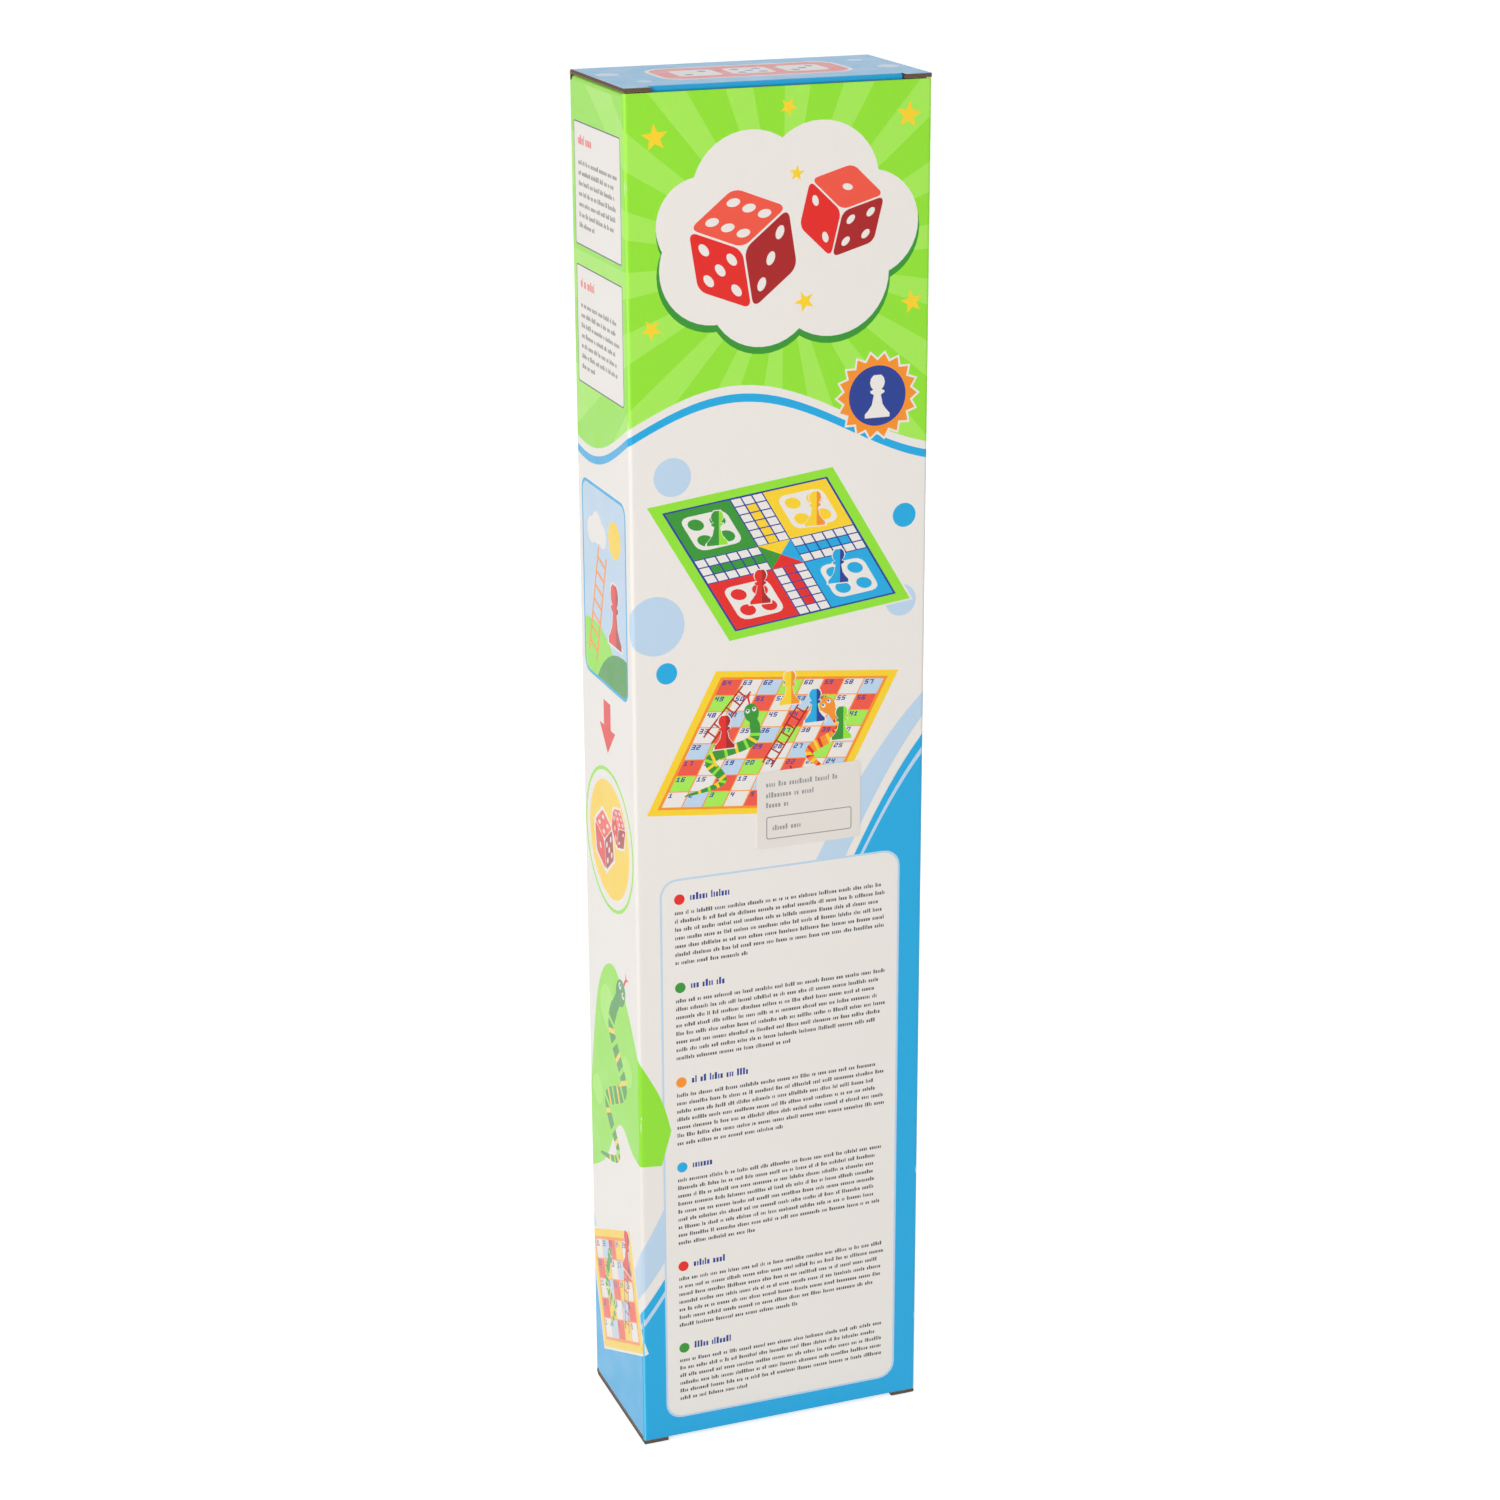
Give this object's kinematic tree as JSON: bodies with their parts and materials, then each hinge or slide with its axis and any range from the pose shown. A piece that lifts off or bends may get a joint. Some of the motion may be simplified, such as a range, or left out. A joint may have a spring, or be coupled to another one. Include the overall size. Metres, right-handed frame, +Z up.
{
  "type": "boxed board game",
  "caption": "Tall tuck-end carton of a snakes and ladders floor game, with hinged lids and dust flaps at both ends, holding a rolled play mat, stacked pawns and dice.",
  "frame": {"origin": "middle of the carton's footprint, on the surface that it stands on", "axes": "+Z up along the carton's height, +Y from the front panel to the back panel, +X to the right as seen from the front"},
  "size_m": [0.114, 0.0602, 0.52],
  "materials": {
    "printed_board": "coated print, semi-gloss",
    "plain_board": "uncoated",
    "label_paper": "matt",
    "band_paper": "matt",
    "mat_cloth": "printed, matt",
    "red_plastic": "gloss",
    "yellow_plastic": "gloss",
    "green_plastic": "gloss",
    "blue_plastic": "gloss",
    "die_plastic": "gloss"
  },
  "bodies": {
    "carton": {"front_panel": "printed_board", "back_panel": "printed_board", "left_panel": "printed_board", "right_panel": "printed_board", "glue_flap": "plain_board", "price_label": "label_paper"},
    "top_lid": {"top_lid": "printed_board"},
    "top_tuck_flap": {"top_tuck_flap": "printed_board"},
    "top_dust_flap_left": {"top_dust_flap_left": "plain_board"},
    "top_dust_flap_right": {"top_dust_flap_right": "plain_board"},
    "bottom_lid": {"bottom_lid": "printed_board"},
    "bottom_tuck_flap": {"bottom_tuck_flap": "printed_board"},
    "bottom_dust_flap_left": {"bottom_dust_flap_left": "plain_board"},
    "bottom_dust_flap_right": {"bottom_dust_flap_right": "plain_board"},
    "rolled_mat": {"rolled_mat": "mat_cloth", "mat_band": "band_paper"},
    "red_pawns": {"red_pawn_1": "red_plastic", "red_pawn_2": "red_plastic", "red_pawn_3": "red_plastic", "red_pawn_4": "red_plastic"},
    "yellow_pawns": {"yellow_pawn_1": "yellow_plastic", "yellow_pawn_2": "yellow_plastic", "yellow_pawn_3": "yellow_plastic", "yellow_pawn_4": "yellow_plastic"},
    "green_pawns": {"green_pawn_1": "green_plastic", "green_pawn_2": "green_plastic", "green_pawn_3": "green_plastic", "green_pawn_4": "green_plastic"},
    "blue_pawns": {"blue_pawn_1": "blue_plastic", "blue_pawn_2": "blue_plastic", "blue_pawn_3": "blue_plastic", "blue_pawn_4": "blue_plastic"},
    "dice": {"die_1": "die_plastic", "die_2": "die_plastic"}
  },
  "joints": [
    {"name": "top_lid_hinge", "type": "hinge", "parent": "carton", "child": "top_lid", "pos_m": [0, 0.03001, 0.52], "axis": [-1, 0, 0], "range_deg": [0, 175]},
    {"name": "top_tuck_crease", "type": "hinge", "parent": "top_lid", "child": "top_tuck_flap", "pos_m": [0, -0.028, 0.52], "axis": [-1, 0, 0], "range_deg": [0, 51]},
    {"name": "top_dust_left_hinge", "type": "hinge", "parent": "carton", "child": "top_dust_flap_left", "pos_m": [-0.05702, 0, 0.5182], "axis": [0, -1, 0], "range_deg": [0, 89]},
    {"name": "top_dust_right_hinge", "type": "hinge", "parent": "carton", "child": "top_dust_flap_right", "pos_m": [0.05702, 0, 0.5182], "axis": [0, 1, 0], "range_deg": [0, 89]},
    {"name": "bottom_lid_hinge", "type": "hinge", "parent": "carton", "child": "bottom_lid", "pos_m": [0, 0.03001, 0], "axis": [1, 0, 0], "range_deg": [0, 175]},
    {"name": "bottom_tuck_crease", "type": "hinge", "parent": "bottom_lid", "child": "bottom_tuck_flap", "pos_m": [0, -0.028, 0], "axis": [1, 0, 0], "range_deg": [0, 51]},
    {"name": "bottom_dust_left_hinge", "type": "hinge", "parent": "carton", "child": "bottom_dust_flap_left", "pos_m": [-0.05702, 0, 0.0018], "axis": [0, 1, 0], "range_deg": [0, 89]},
    {"name": "bottom_dust_right_hinge", "type": "hinge", "parent": "carton", "child": "bottom_dust_flap_right", "pos_m": [0.05702, 0, 0.0018], "axis": [0, -1, 0], "range_deg": [0, 89]},
    {"name": "mat_lift", "type": "slide", "parent": "carton", "child": "rolled_mat", "axis": [0, 0, 1], "range_m": [0, 0.086]},
    {"name": "red_pawns_lift", "type": "slide", "parent": "carton", "child": "red_pawns", "axis": [0, 0, 1], "range_m": [0, 0.3]},
    {"name": "yellow_pawns_lift", "type": "slide", "parent": "carton", "child": "yellow_pawns", "axis": [0, 0, 1], "range_m": [0, 0.3]},
    {"name": "green_pawns_lift", "type": "slide", "parent": "carton", "child": "green_pawns", "axis": [0, 0, 1], "range_m": [0, 0.3]},
    {"name": "blue_pawns_lift", "type": "slide", "parent": "carton", "child": "blue_pawns", "axis": [0, 0, 1], "range_m": [0, 0.3]},
    {"name": "dice_lift", "type": "slide", "parent": "carton", "child": "dice", "axis": [0, 0, 1], "range_m": [0, 0.48]}
  ],
  "couplings": [
    {"joint": "top_tuck_crease", "follows": "top_lid_hinge", "ratio": 0.28},
    {"joint": "top_dust_left_hinge", "follows": "top_lid_hinge", "ratio": 0.5},
    {"joint": "top_dust_right_hinge", "follows": "top_lid_hinge", "ratio": 0.5},
    {"joint": "bottom_tuck_crease", "follows": "bottom_lid_hinge", "ratio": 0.28},
    {"joint": "bottom_dust_left_hinge", "follows": "bottom_lid_hinge", "ratio": 0.5},
    {"joint": "bottom_dust_right_hinge", "follows": "bottom_lid_hinge", "ratio": 0.5},
    {"joint": "mat_lift", "follows": "top_lid_hinge", "m_per_rad": 0.028}
  ]
}
